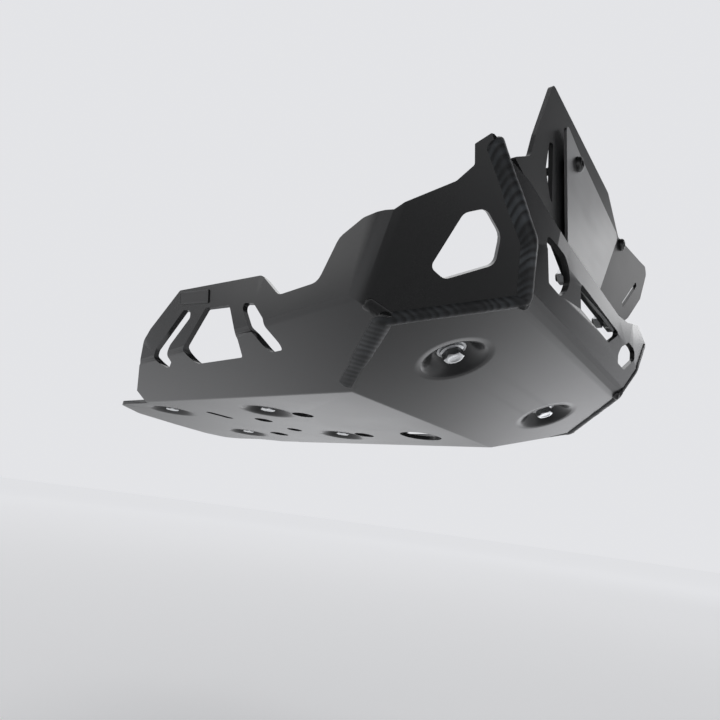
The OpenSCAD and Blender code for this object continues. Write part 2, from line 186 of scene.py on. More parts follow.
def shade(mesh: bpy.types.Mesh, sharp: float) -> None:
    """Shades a mesh smooth, with the edges that turn by more than `sharp` degrees left sharp."""
    mesh.polygons.foreach_set("use_smooth", np.ones(len(mesh.polygons), bool))
    mesh.set_sharp_from_angle(angle=math.radians(sharp))


def finished(piece: bpy.types.Object, material: bpy.types.Material) -> bpy.types.Object:
    """Gives a new piece its material and body."""
    piece.data.materials.clear()
    piece.data.materials.append(material)
    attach(piece, BODY)
    LOG.info("%s in %s", piece.name, material.name)
    return piece


def repaint(node: str, material: bpy.types.Material) -> None:
    """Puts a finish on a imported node's own material slots."""
    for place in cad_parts[node].material_slots:
        place.material = material
    LOG.info("%s in %s", node, material.name)


# Materials


class Signal:
    """One output socket of a material, on which Python's operators add Math nodes."""

    def __init__(self, graph: "Graph", socket: bpy.types.NodeSocket | None) -> None:
        """Wraps a socket of the graph."""
        self.graph = graph
        self.socket = socket

    def math(self, operation: str, *values: Any) -> "Signal":
        """A Math node on this value and further ones."""
        inputs = dict(enumerate((self, *values)))
        return self.graph.node("ShaderNodeMath", {"operation": operation}, inputs)

    def __add__(self, other: Any) -> "Signal":
        """self + other"""
        return self.math("ADD", other)

    __radd__ = __add__

    def __mul__(self, other: Any) -> "Signal":
        """self * other"""
        return self.math("MULTIPLY", other)

    __rmul__ = __mul__

    def __sub__(self, other: Any) -> "Signal":
        """self - other"""
        return self.math("SUBTRACT", other)

    def __rsub__(self, other: Any) -> "Signal":
        """other - self"""
        return self.graph.node("ShaderNodeMath", {"operation": "SUBTRACT"}, {0: other, 1: self})

    def step(self, low: float, high: float) -> "Signal":
        """0 below `low`, 1 above `high`, smooth between."""
        inputs = {"Value": self, "From Min": low, "From Max": high}
        return self.graph.node("ShaderNodeMapRange", {"interpolation_type": "SMOOTHSTEP"}, inputs)


class Graph:
    """The nodes of one material, or of the world."""

    def __init__(self, owner: bpy.types.Material | bpy.types.World) -> None:
        """Starts with the owner's nodes cleared."""
        self.owner = owner
        owner.use_nodes = True
        self.tree = owner.node_tree
        self.tree.nodes.clear()

    @classmethod
    def material(cls, name: str) -> "Graph":
        """The graph of a new material."""
        return cls(bpy.data.materials.new(name))

    def node(
        self,
        kind: str,
        settings: dict[str, Any] | None = None,
        inputs: dict[Any, Any] | None = None,
        out: Any = 0,
    ) -> Signal:
        """Adds a node: settings first, then the values or links of its sockets.

        Args:
            kind: The node's type.
            settings: Attributes of the node.
            inputs: Values or signals by socket name or number.
            out: The output socket to return, by name or number.

        Returns:
            The output as a signal.
        """
        node = self.tree.nodes.new(kind)
        for key, value in (settings or {}).items():
            setattr(node, key, value)
        for key, value in (inputs or {}).items():
            if isinstance(value, Signal):
                self.tree.links.new(value.socket, node.inputs[key])
            else:
                node.inputs[key].default_value = value
        return Signal(self, node.outputs[out] if len(node.outputs) else None)

    def vector(self, operation: str, *values: Any, out: Any = 0) -> Signal:
        """A Vector Math node on vectors or signals."""
        return self.node("ShaderNodeVectorMath", {"operation": operation}, dict(enumerate(values)), out)

    def place(self) -> Signal:
        """The Object coordinates, in metres."""
        return self.node("ShaderNodeTexCoord", out="Object")

    def noise(
        self, cells: float, detail: float, stretch: Triple | None = None, rough: float = 0.5
    ) -> Signal:
        """Noise of so many cells a metre, drawn out along an axis where its stretch is below one."""
        place = self.place()
        if stretch is not None:
            place = self.vector("MULTIPLY", place, stretch)
        inputs = {"Vector": place, "Scale": cells, "Detail": detail, "Roughness": rough}
        return self.node("ShaderNodeTexNoise", None, inputs, "Fac")

    def blend(self, mask: Any, low: Any, high: Any) -> Signal:
        """The colour `low` where the mask is 0 and `high` where it is 1.

        A Mix node's colours go in at its sockets 6 and 7, and come out at 2.
        """
        return self.node("ShaderNodeMix", {"data_type": "RGBA"}, {0: mask, 6: low, 7: high}, 2)

    def bump(
        self, height: Signal, depth: float, strength: float = 1.0, under: Signal | None = None
    ) -> Signal:
        """A Bump node: `height` from 0 to 1 stands for `depth` millimetres."""
        inputs: dict[str, Any] = {"Height": height, "Distance": depth * MM, "Strength": strength}
        if under is not None:
            inputs["Normal"] = under
        return self.node("ShaderNodeBump", None, inputs)

    def skin(self, **sockets: Any) -> bpy.types.Material:
        """Closes the material with a Principled shader, whose socket names have underscores here."""
        inputs = {key.replace("_", " "): value for key, value in sockets.items()}
        return self.close(self.node("ShaderNodeBsdfPrincipled", None, inputs))

    def close(self, shader: Signal) -> bpy.types.Material:
        """Links a shader to the material's output."""
        self.node("ShaderNodeOutputMaterial", None, {"Surface": shader})
        return self.owner

    def eye(self) -> Signal:
        """1 on rays of the camera and through glass, 0 on all others."""
        through = self.node("ShaderNodeLightPath", out="Is Transmission Ray")
        return self.node("ShaderNodeLightPath", out="Is Camera Ray").math("MAXIMUM", through)

    def gloss(self) -> Signal:
        """1 on rays that a glossy surface mirrors, 0 on all others."""
        return self.node("ShaderNodeLightPath", out="Is Glossy Ray")


def grey(level: float, warm: float = 0.0) -> Colour:
    """A near neutral colour, a little warm above 0 and a little cool below."""
    return (level * (1 + warm), level, level * (1 - warm), 1.0)


@dataclass(frozen=True)
class SatinCoat:
    """Satin dark powder coat: fine grain, faint clouds in tone and gloss, and light rub marks. Where
    `ripples` is set, ripple crests are painted lighter and troughs darker: painted highlight and painted
    shade.

    Cells are noise cells a metre. `grain`, `peel` and `rim_depth` are bump depths in millimetres, and the
    rim's two radii are in metres.
    """

    name: str = "satin_coat"
    tone: float = 0.018
    roughness: float = 0.25
    gloss: float = 0.8
    grain: float = 0.018
    rub: float = 0.20
    seats: bool = False
    ripples: bool = False
    peel: float = 0.008
    grain_cells: float = 1700.0
    peel_cells: float = 420.0
    cloud_cells: float = 14.0
    streak_cells: float = 60.0
    patch_cells: float = 9.0
    crest_light_cells: float = 45.0
    rim_inner: float = 0.0195
    rim_outer: float = 0.0290
    rim_depth: float = 1.3

    def material(self) -> bpy.types.Material:
        """Builds the coat."""
        graph = Graph.material(self.name)
        grain = graph.noise(self.grain_cells, 3.0)
        peel = graph.noise(self.peel_cells, 2.0)
        clouds = graph.noise(self.cloud_cells, 3.0)
        streaks = graph.noise(self.streak_cells, 4.0, (1.0, 0.06, 1.0), 0.65).step(0.60, 0.78)
        patches = graph.noise(self.patch_cells, 2.0).step(0.50, 0.72)
        rubbed = streaks * patches * self.rub
        tone = graph.blend(clouds, grey(self.tone * 0.88, -0.06), grey(self.tone * 1.10, -0.03))
        tone = graph.blend(grain.step(0.55, 0.75) * 0.35, tone, grey(self.tone * 1.7))
        tone = graph.blend(rubbed, tone, grey(self.tone * 2.6))
        rough = clouds * 0.06 + grain * 0.10 + rubbed * 0.10 + (self.roughness - 0.08)
        if self.ripples:
            # Painted highlight and painted shade: the tone runs from darker in the ripples' troughs to
            # lighter on their crests, broken up by noise.
            ripple = graph.node("ShaderNodeAttribute", {"attribute_name": RIPPLE}, out="Fac")
            painted_crest_light = ripple.step(0.15, 0.95) * (0.5 + graph.noise(self.crest_light_cells, 2.0) * 0.9)
            tone = graph.blend(painted_crest_light, grey(self.tone * 0.55, -0.03), grey(self.tone * 1.9, -0.08))
            rough = rough + (1 - painted_crest_light) * 0.10
        normal = self.soft_rims(graph) if self.seats else None
        normal = graph.bump(grain, self.grain, 0.5, graph.bump(peel, self.peel, 0.5, normal))
        return graph.skin(Base_Color=tone, Roughness=rough, Normal=normal, Specular_IOR_Level=self.gloss)

    def soft_rims(self, graph: Graph) -> Signal:
        """The sheet draws in a little round each seat: a bump by the distance from the bolts' axes."""
        nearest = None
        for x, y, on_ramp in BOLT_PLACES.values():
            slope = math.radians(RAMP_ANGLE) if on_ramp else 0.0
            origin = placed(np.array([x, y, -y * math.tan(slope)]))
            axis = (0.0, math.sin(slope), math.cos(slope))
            offset = graph.vector("SUBTRACT", graph.place(), tuple(origin))
            away = graph.vector("LENGTH", graph.vector("CROSS_PRODUCT", offset, axis), out="Value")
            nearest = away if nearest is None else nearest.math("MINIMUM", away)
        return graph.bump(nearest.step(self.rim_inner, self.rim_outer), self.rim_depth)


@dataclass(frozen=True)
class BareSheet:
    """Bare aluminium sheet, brushed across, with a few stray handling marks.

    Cells are noise cells a metre, and `line_depth` is in millimetres.
    """

    name: str = "brushed_sheet"
    tone: float = 0.50
    roughness: float = 0.40
    line_depth: float = 0.02
    line_cells: float = 900.0
    broad_cells: float = 120.0
    stain_cells: float = 22.0

    def material(self) -> bpy.types.Material:
        """Builds the brushed metal."""
        graph = Graph.material(self.name)
        lines = graph.noise(self.line_cells, 4.0, (0.02, 1.0, 1.0), 0.7)
        broad = graph.noise(self.broad_cells, 3.0, (0.05, 1.0, 1.0))
        stains = graph.noise(self.stain_cells, 4.0)
        tone = graph.blend(lines, grey(self.tone * 0.86), grey(self.tone * 1.06))
        tone = graph.blend(stains.step(0.5, 0.8) * 0.25, tone, grey(self.tone * 0.80, 0.01))
        rough = lines * 0.16 + stains * 0.10 + broad * 0.06 + (self.roughness - 0.16)
        normal = graph.bump(lines, self.line_depth, 0.6)
        return graph.skin(Base_Color=tone, Metallic=1.0, Roughness=rough, Normal=normal)


@dataclass(frozen=True)
class PlatedSteel:
    """Zinc-plated or plain steel of small parts: mottled tone, fine pitting.

    Cells are noise cells a metre, and `pits` is a depth in millimetres.
    """

    name: str = "zinc_plate"
    tone: float = 0.78
    cool: float = -0.015
    roughness: float = 0.26
    pits: float = 0.02
    spangle_cells: float = 900.0
    mottle_cells: float = 350.0
    soot_cells: float = 130.0

    def material(self) -> bpy.types.Material:
        """Builds the metal."""
        graph = Graph.material(self.name)
        cells = {"Vector": graph.place(), "Scale": self.spangle_cells}
        spangle = graph.node("ShaderNodeTexVoronoi", {"feature": "F1"}, cells, "Distance")
        mottle = graph.noise(self.mottle_cells, 4.0)
        soot = graph.noise(self.soot_cells, 3.0).step(0.52, 0.78)
        tone = graph.blend(mottle, grey(self.tone * 0.78, self.cool), grey(self.tone * 1.08, self.cool))
        tone = graph.blend(soot * 0.35, tone, grey(self.tone * 0.55, 0.02))
        rough = mottle * 0.14 + spangle * 0.12 + soot * 0.10 + (self.roughness - 0.08)
        normal = graph.bump(mottle + spangle * 0.5, self.pits, 0.5)
        return graph.skin(Base_Color=tone, Metallic=1.0, Roughness=rough, Normal=normal)


@dataclass(frozen=True)
class Patch:
    """A round soft patch of brightness that only gloss sees.

    It has its full gain within `inner` of its middle, and fades out by `outer`.
    """

    middle: Triple
    inner: float
    outer: float
    gain: float

    def over(self, graph: Graph, place: Signal) -> Signal:
        """The patch's part in the brightness at a place of the floor, or in a direction of the world."""
        away = graph.vector("DISTANCE", place, self.middle, out="Value")
        return (1 - away.step(self.inner, self.outer)) * self.gain


@dataclass(frozen=True)
class Backdrop:
    """Matt pale paper of the floor, which brightens with distance until it meets the world."""

    name: str = "pale_paper"
    tone: float = 0.66
    fibre_cells: float = 40.0
    near_glow: float = 0.38
    far_glow: float = 0.64
    near: float = 0.3
    far: float = 4.6
    mirrored: float = 0.45
    patches: tuple[Patch, ...] = (
        Patch((-0.32, -0.52, 0.0), 0.35, 0.80, -0.45),
        Patch((0.24, -0.10, 0.0), 0.15, 0.45, -0.55),
        Patch((1.00, -0.20, 0.0), 0.15, 0.65, 1.25),
        Patch((-0.05, 0.40, 0.0), 0.15, 0.45, 0.20),
        Patch((1.60, -0.10, 0.0), 0.15, 0.70, 1.60),
        Patch((1.40, 1.25, 0.0), 0.20, 1.00, 0.80),
        Patch((0.75, 1.85, 0.0), 0.20, 0.90, -0.42),
    )

    def material(self) -> bpy.types.Material:
        """Builds the paper: matt, with a glow that only the eye and gloss see, so it lights nothing."""
        graph = Graph.material(self.name)
        place = graph.place()
        fibre = graph.noise(self.fibre_cells, 4.0)
        tone = graph.blend(fibre, grey(self.tone * 0.985, -0.004), grey(self.tone * 1.01, -0.004))
        rise = graph.vector("LENGTH", place, out="Value").step(self.near, self.far)
        seen = rise * (self.far_glow - self.near_glow) + self.near_glow
        mirrored = sum((patch.over(graph, place) for patch in self.patches), self.mirrored)
        glow = seen * graph.eye() + mirrored.math("MAXIMUM", 0.0) * graph.gloss()
        matt = graph.node("ShaderNodeBsdfDiffuse", None, {"Color": tone})
        lit = graph.node("ShaderNodeEmission", None, {"Color": COOL_WHITE, "Strength": glow})
        return graph.close(graph.node("ShaderNodeAddShader", None, {0: matt, 1: lit}))


def built(recipe: SatinCoat | BareSheet | PlatedSteel | Backdrop) -> Any:
    """A dataclass field for a recipe's material, which is built with the dataclass."""
    return field(default_factory=recipe.material)


@dataclass
class Finishes:
    """All materials of the part, each built once."""

    pressed: bpy.types.Material = built(SatinCoat("pressed_satin_coat", seats=True))
    matt: bpy.types.Material = built(SatinCoat("matt_coat", tone=0.016, roughness=0.42, gloss=0.30))
    # The weld coat's lighter tone and its lighter ripple crests are painted highlight; its darker troughs
    # are painted shade.
    weld: bpy.types.Material = built(
        SatinCoat("weld_coat_painted_crests", tone=0.085, roughness=0.34, gloss=0.3, rub=0.0, ripples=True)
    )
    label: bpy.types.Material = built(
        SatinCoat("label_black", tone=0.012, roughness=0.30, grain=0.01, rub=0.0)
    )
    bare: bpy.types.Material = built(BareSheet())
    zinc: bpy.types.Material = built(PlatedSteel())
    black: bpy.types.Material = built(PlatedSteel("black_screw", tone=0.10, cool=0.0, roughness=0.34))
    steel: bpy.types.Material = built(PlatedSteel("plain_steel", tone=0.50, cool=0.0, roughness=0.38))
    paper: bpy.types.Material = built(Backdrop())


# Sheet and welds


@dataclass(frozen=True)
class Seam:
    """The welded seam of one side: up the ramp's edge, along the cheek's foot and up the panel.

    Its corners have X to the left. Radii, sink and start that are called plain are those of the packed
    sheet's bead. `start` is a share of the seam's first run, and `aside` its distance out on the flank.
    `ramp` to `ear` are the outward normals of the sheet's faces.
    """

    bottom_corner: Triple = (115.0, 0.0, 0.0)
    seam_corner: Triple = (169.0, -63.0, 25.45)
    side_corner: Triple = (188.2, -56.9, 34.5)
    seam_end: Triple = (113.5, -125.0, 50.5)
    seam_kink: Triple = (132.8, -134.7, 77.8)
    top_low: Triple = (181.4, -132.0, 115.7)
    top_high: Triple = (187.5, -131.7, 120.3)
    plain_radii: tuple[float, ...] = (5.5, 4.0, 5.5, 5.5)
    plain_sink: float = 0.5
    plain_start: float = 0.17
    start: float = 0.02
    aside: float = 5.0
    ramp: Triple = (0.0, -0.3746, -0.9272)
    panel: Triple = (0.0, -0.9426, -0.3338)
    flank: Triple = (0.4264, 0.0, -0.9045)
    cheek: Triple = (0.4817, -0.6628, -0.5733)
    ear: Triple = (0.0910, -0.9946, -0.0490)

    def corners(self, side: Side, plain: bool = False) -> np.ndarray:
        """The seam's corners, with X to the left on both sides.

        Args:
            side: The sides differ in the seam's upper end.
            plain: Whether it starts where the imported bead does, or where the rippled one runs out.

        Returns:
            An array of shape (5, 3).
        """
        low, seam = np.array(self.bottom_corner), np.array(self.seam_corner)
        foot = low + self.start * (seam - low) + self.aside * unit(np.cross(seam - low, self.flank))
        if plain:
            foot = low + self.plain_start * (seam - low)
        top = self.top_low if side is Side.RIGHT else self.top_high
        return np.array([foot, seam, self.seam_end, self.seam_kink, top])

    def faces(self) -> np.ndarray:
        """The outward normals of the two faces that meet along each run of the seam."""
        return np.array([
            (self.flank, self.ramp),
            (self.cheek, self.ramp),
            (self.cheek, self.panel),
            (self.cheek, self.ear),
        ])

    def facing(self) -> np.ndarray:
        """The direction that each run of the bead faces. Its top run keeps the one below's."""
        directions = [unit(pair.sum(axis=0)) for pair in self.faces()]
        return np.array([*directions[:3], directions[2]])


@dataclass
class GuardSheet:
    """The folded and pressed sheet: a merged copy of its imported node, with soft shading over its folds.

    `grip` is how much further than a plain bead's radius its points are looked for.
    """

    node: str = "skid_plate"
    seam: Seam = Seam()
    sharp: float = 30.0
    grip: float = 1.03

    def build(self, finishes: Finishes) -> bpy.types.Object:
        """Copies, merges and dresses the sheet."""
        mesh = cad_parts[self.node].data.copy()
        work = bmesh.new()
        work.from_mesh(mesh)
        bmesh.ops.remove_doubles(work, verts=work.verts, dist=MERGE)
        bmesh.ops.dissolve_degenerate(work, edges=work.edges, dist=MERGE)
        work.to_mesh(mesh)
        work.free()
        self.level_beads(mesh)
        shade(mesh, self.sharp)
        piece = bpy.data.objects.new("guard_sheet", mesh)
        bpy.context.collection.objects.link(piece)
        weighted = piece.modifiers.new("weighted", "WEIGHTED_NORMAL")
        weighted.mode = "FACE_AREA"
        weighted.keep_sharp = True
        finished(piece, finishes.pressed)
        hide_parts(self.node)
        return piece

    def level_beads(self, mesh: bpy.types.Mesh) -> None:
        """Levels the copy's plain beads with the sheet's faces, where the rippled ones take their place.

        A point nearer to a seam's sunk middle line than the bead's radius, and outside one of the two faces
        that meet at the seam, goes square to that face until it lies on it.
        """
        points = np.empty(3 * len(mesh.vertices))
        mesh.vertices.foreach_get("co", points)
        points = points.reshape(-1, 3)
        seam = self.seam
        for side in Side:
            mirror = np.array([side.value, 1, 1])
            line = seam.corners(side, plain=True) * mirror
            facing, meeting = seam.facing() * mirror, seam.faces() * mirror
            runs = zip(line[:-1], line[1:], facing, meeting, seam.plain_radii)
            for start, end, outward, faces, radius in runs:
                sunk = seam.plain_sink * radius * outward
                first, last = placed(start - sunk), placed(end - sunk)
                run = last - first
                share = np.clip((points - first) @ run / (run @ run), 0.0, 1.0)
                away = np.linalg.norm(points - first - share[:, None] * run, axis=1)
                on_bead = away < self.grip * radius * MM
                near = points[on_bead]
                for normal in (*faces, *faces):
                    near -= np.maximum((near - placed(start)) @ normal, 0.0)[:, None] * normal
                points[on_bead] = near
        mesh.vertices.foreach_set("co", points.ravel())


@dataclass(frozen=True)
class Section:
    """Oval section of a bead: half its width, its rise over its middle, the middle's depth, its ripple."""

    half_width: float
    rise: float
    sink: float
    ripple: float


@dataclass
class WeldBeads:
    """A flat, faintly rippled bead down each side, and a tack at the cheek's outer corner.

    `flat`, `saw_lean` and `saw_round` are powers. `pitch`, `mark_step` and `step` are lengths along a
    run, and `blur` and `line_blur` numbers of steps. `bow` and `jitter` are shares of the pitch, `wander`
    of the section, `end` of its half width, and `weakest` of the ripple's height.
    """

    seam: Seam = Seam()
    broad: Section = Section(6.4, 3.65, 2.05, 0.32)
    smooth: Section = Section(6.4, 3.55, 2.05, 0.11)
    thin: Section = Section(4.8, 3.0, 1.7, 0.14)
    low: Section = Section(5.6, 2.4, 2.0, 0.10)
    tack: Section = Section(4.4, 1.4, 1.2, 0.05)
    tack_start: float = 0.05
    tack_end: float = 0.75
    bead_seed: int = 3
    tack_seed: int = 11
    flat: float = 1.6
    saw_lean: float = 0.7
    saw_round: float = 0.9
    pitch: float = 5.4
    bow: float = 0.9
    jitter: float = 0.18
    wander: float = 0.02
    weakest: float = 0.4
    mark_step: float = 9.0
    end: float = 0.6
    pole: float = 0.02
    step: float = 0.5
    fewest: int = 12
    blur: int = 9
    line_blur: int = 5
    around: int = 36
    sharp: float = 60.0

    def eased(self, values: np.ndarray, width: int) -> np.ndarray:
        """Moving mean along the first axis, narrower towards both ends so that these stay in place."""
        count = len(values)
        total = np.vstack([np.zeros((1, values.shape[1])), np.cumsum(values, axis=0)])
        at = np.arange(count)
        reach = np.minimum(np.minimum(at, count - 1 - at), width)
        return (total[at + reach + 1] - total[at - reach]) / (2 * reach + 1)[:, None]

    def bead(
        self, name: str, corners: np.ndarray, outward: np.ndarray, sections: Sequence[Section], seed: int
    ) -> bpy.types.Object:
        """One bead: a tube of flat oval section along the seam, which swells in overlapping crescents.

        At run s and angle a the section's point is (w sin a) across and (u |cos a|^q) outward, w being the
        half width, u the rise and q the power `flat`, which thins the bead's toes. Both are scaled by
        1 + k(s) + h cos^2 a c(s / p + j(s) - b cos^2 a) / u, where k is a slow wander of the torch, h the
        ripple's height with its changing force, c a rounded saw tooth, p the pitch, j its jitter and b the
        bow of each crescent. The section shrinks to nothing as a quarter ellipse over both ends.

        Args:
            name: The piece's name.
            corners: Seam points in the fold frame.
            outward: Direction that each run between two corners faces.
            sections: The section of each run.
            seed: Seed of the torch's wander.

        Returns:
            The bead.
        """
        reached = np.concatenate([[0.0], np.cumsum(np.linalg.norm(np.diff(corners, axis=0), axis=1))])
        run = np.linspace(0.0, reached[-1], max(self.fewest, int(reached[-1] / self.step)))
        part = np.clip(np.searchsorted(reached, run, "right") - 1, 0, len(corners) - 2)
        line = np.stack([np.interp(run, reached, corners[:, i]) for i in range(3)], axis=-1)
        facing = self.eased(outward[part], self.blur)
        facing /= np.linalg.norm(facing, axis=1, keepdims=True)
        kinds = np.array([(kind.half_width, kind.rise, kind.sink, kind.ripple) for kind in sections])
        width, rise, sink, ripple = (column[:, None] for column in self.eased(kinds[part], self.blur).T)
        line = self.eased(line, self.line_blur) - sink * facing
        along = np.gradient(line, axis=0)
        along /= np.linalg.norm(along, axis=1, keepdims=True)
        across = np.cross(along, facing)
        across /= np.linalg.norm(across, axis=1, keepdims=True)
        up = np.cross(across, along)
        angle = np.linspace(0.0, 2 * math.pi, self.around, endpoint=False)[None, :]
        upward = np.cos(angle)
        draw = np.random.default_rng(seed)
        marks = np.arange(0.0, run[-1] + 2 * self.mark_step, self.mark_step)
        wander = np.interp(run, marks, draw.normal(0, self.wander, len(marks)))
        jitter = np.interp(run, marks, draw.normal(0, self.jitter, len(marks)))
        phase = (run / self.pitch + jitter)[:, None] - self.bow * upward ** 2
        fraction = phase - np.floor(phase)
        tooth = np.sin(math.pi * fraction ** self.saw_lean) ** self.saw_round
        force = np.interp(run, marks, draw.uniform(self.weakest, 1.0, len(marks)))[:, None]
        swell = 1 + wander[:, None] + ripple * force * (tooth - 0.5) * upward ** 2 / rise
        to_end = np.minimum(run, run[-1] - run)[:, None]
        close = np.sqrt(np.clip(1 - (1 - np.clip(to_end / (self.end * width), 0, 1)) ** 2, 0.0, 1.0))
        swell = swell * np.maximum(close, self.pole)
        lift = np.sign(upward) * np.abs(upward) ** self.flat
        rim = (
            rise[..., None] * up[:, None, :] * lift[..., None]
            + width[..., None] * across[:, None, :] * np.sin(angle)[..., None]
        )
        piece = surface(name, line[:, None, :] + swell[..., None] * rim, self.sharp)
        height = np.zeros(len(piece.data.vertices), np.float32)
        height[:tooth.size] = (tooth * force * np.sqrt(ripple / self.broad.ripple)).ravel()
        piece.data.attributes.new(RIPPLE, "FLOAT", "POINT").data.foreach_set("value", height)
        return piece

    def build(self, finishes: Finishes) -> None:
        """Lays the long bead and the tack of each side. The left bead is the flatter one."""
        seam, facing = self.seam, self.seam.facing()
        sections = {
            Side.RIGHT: (self.smooth, self.thin, self.broad, self.broad),
            Side.LEFT: (self.low, self.thin, self.low, self.low),
        }
        corner, along, outer = np.array([seam.seam_corner, seam.seam_end, seam.side_corner])
        tack = np.array([
            corner + self.tack_start * (along - corner),
            corner + self.tack_end * (outer - corner),
        ])
        outward = unit(np.add(seam.cheek, seam.flank))[None, :]
        for side in Side:
            mirror = np.array([side.value, 1, 1])
            label = side.name.lower()
            line, seed = seam.corners(side) * mirror, self.bead_seed + side.value
            bead = self.bead(f"weld_bead_{label}", line, facing * mirror, sections[side], seed)
            finished(bead, finishes.weld)
            seed = self.tack_seed + side.value
            bead = self.bead(f"weld_tack_{label}", tack * mirror, outward * mirror, (self.tack,), seed)
            finished(bead, finishes.pressed)


# Bolts and screws


@dataclass(frozen=True)
class Thread:
    """A rolled thread: where it fades in and where it stops along the axis, its pitch and its depth."""

    start: float
    stop: float
    pitch: float
    depth: float
    steps: int = 8
    crest: float = 1.3
    slack: float = 0.001

    def cut(self, height: np.ndarray, angle: np.ndarray) -> np.ndarray:
        """What the thread takes off the radius: a helical groove of a cosine's form, raised to `crest`."""
        sense = math.copysign(1.0, self.stop - self.start)
        groove = 0.5 + 0.5 * np.cos(2 * math.pi * height / self.pitch - angle)
        fade = np.clip((height - self.start) * sense / self.pitch, 0, 1)
        return self.depth * groove ** self.crest * fade * ((self.stop - height) * sense > -self.slack)

    def heights(self, stop: float) -> np.ndarray:
        """Heights of the rings from the thread's start to `stop`, so many steps to a pitch."""
        step = math.copysign(self.pitch / self.steps, stop - self.start)
        return np.arange(self.start, stop, step)


def turned(rows: np.ndarray, columns: int, thread: Thread) -> np.ndarray:
    """A turned and milled body round Z, as a grid of rows along its axis and columns round it.

    The radius at angle a is the smaller of the row's circle and its hexagon f / cos((a mod 60) - 30), where
    f is half the width across the flats. The thread's cut is taken off it.

    Args:
        rows: Shape (rows, 3): height, circle's radius, half the width across the flats.
        columns: Number of points round the axis, a multiple of 12.
        thread: The body's thread.

    Returns:
        Points of shape (rows, columns, 3) in the body's own frame.
    """
    angle = np.linspace(0.0, 2 * math.pi, columns, endpoint=False)[None, :]
    height, circle, half_flats = (rows[:, i, None] for i in range(3))
    turn = np.mod(angle, math.pi / 3) - math.pi / 6
    radius = np.minimum(circle, half_flats / np.cos(turn))
    return rings(radius - thread.cut(height, angle), height, angle)


def round_rows(profile: Sequence[tuple[float, float]]) -> list[Triple]:
    """Heights and radii as rows of a turned body that has no flats there."""
    return [(height, radius, NO_LIMIT) for height, radius in profile]


def carried(grid: np.ndarray, origin: Sequence[float], axes: np.ndarray) -> np.ndarray:
    """Takes points of a piece's own frame to the fold frame: origin plus each coordinate along its axis."""
    return np.asarray(origin, float) + grid @ np.asarray(axes, float)


@dataclass
class FlangeBolt:
    """A hexagon bolt with a flange, chamfered corners, a dished top and a rolled thread on its free end.

    Heights are square to the sheet's outer face, inward. `dish` has depths in the head's top, and radii.
    """

    name: str
    place: tuple[float, float]
    on_ramp: bool
    flats: float = 13.0
    head_low: float = 0.9
    head_high: float = 6.9
    seat: float = 8.4
    flange: float = 17.5
    shank: float = 8.0
    tip: float = 48.0
    sleeve_end: float = 32.0
    groove: float = 6.4
    thread_start: float = 34.5
    pitch: float = 1.25
    thread_depth: float = 0.68
    top_share: float = 0.94
    chamfer: float = 1.73
    chamfer_rises: tuple[float, ...] = (0.25, 0.5, 0.75, 1.0, 1.25, 2.5, 4.0)
    dish: Profile = ((0.55, 1.2), (0.55, 3.5), (0.42, 4.0), (0.02, 4.5), (0.0, 4.7))
    columns: int = 72
    sharp: float = 28.0

    def thread(self) -> Thread:
        """The thread on the bolt's free end."""
        return Thread(self.thread_start, self.tip - 1.0, self.pitch, self.thread_depth)

    def rows(self) -> np.ndarray:
        """Heights, circles and hexagons from the dished top to the tip."""
        low, high, seat, tip = self.head_low, self.head_high, self.seat, self.tip
        half, rim, shank, neck = self.flats / 2, self.flange / 2, self.shank / 2, self.groove / 2
        top = half * self.top_share
        crown = [(low + depth, radius) for depth, radius in self.dish]
        crown += [(low, top - 0.1), (low + 0.04, top + 0.05)]
        head = [(low + rise, top + rise * self.chamfer, half) for rise in self.chamfer_rises]
        head += [(high - 0.9, NO_LIMIT, half), (high - 0.55, half + 1.1, half + 0.1)]
        flange = [
            (high - 0.35, half + 1.1), (high - 0.05, rim - 0.5), (high + 0.15, rim - 0.12),
            (high + 0.5, rim), (seat - 0.3, rim), (seat, rim - 0.3),
        ]
        stem = [
            (seat, shank), (self.sleeve_end, shank), (self.sleeve_end + 0.8, neck),
            (self.thread_start - 0.8, neck), (self.thread_start - 0.05, shank),
        ]
        threaded = [(height, shank) for height in self.thread().heights(tip - 1.2)]
        point = [(tip - 1.1, shank), (tip - 0.1, shank - 0.95), (tip, shank - 1.1), (tip, 1.0)]
        return np.array(round_rows(crown) + head + round_rows(flange + stem + threaded + point))

    def build(self, finishes: Finishes) -> bpy.types.Object:
        """Makes the bolt on its seat."""
        slope = math.radians(RAMP_ANGLE) if self.on_ramp else 0.0
        sine, cosine = math.sin(slope), math.cos(slope)
        axes = np.array([[1.0, 0.0, 0.0], [0.0, cosine, -sine], [0.0, sine, cosine]])
        x, y = self.place
        grid = turned(self.rows(), self.columns, self.thread())
        grid = carried(grid, (x, y, -y * math.tan(slope)), axes)
        piece = finished(surface(self.name + "_threaded", grid, self.sharp), finishes.zinc)
        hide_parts(self.name)
        return piece


@dataclass
class BoltSet:
    """The six bolts in their pressed seats, each with its washer and its sleeve."""

    places: dict[str, tuple[float, float, bool]] = field(default_factory=lambda: dict(BOLT_PLACES))

    def build(self, finishes: Finishes) -> None:
        """Makes the bolts and dresses the washers and sleeves."""
        for place, (x, y, on_ramp) in self.places.items():
            area, side = place.split("_")
            FlangeBolt(f"{area}_bolt_{side}", (x, y), on_ramp).build(finishes)
            repaint(f"{area}_washer_{side}", finishes.zinc)
            repaint(f"{area}_spacer_{side}", finishes.steel)


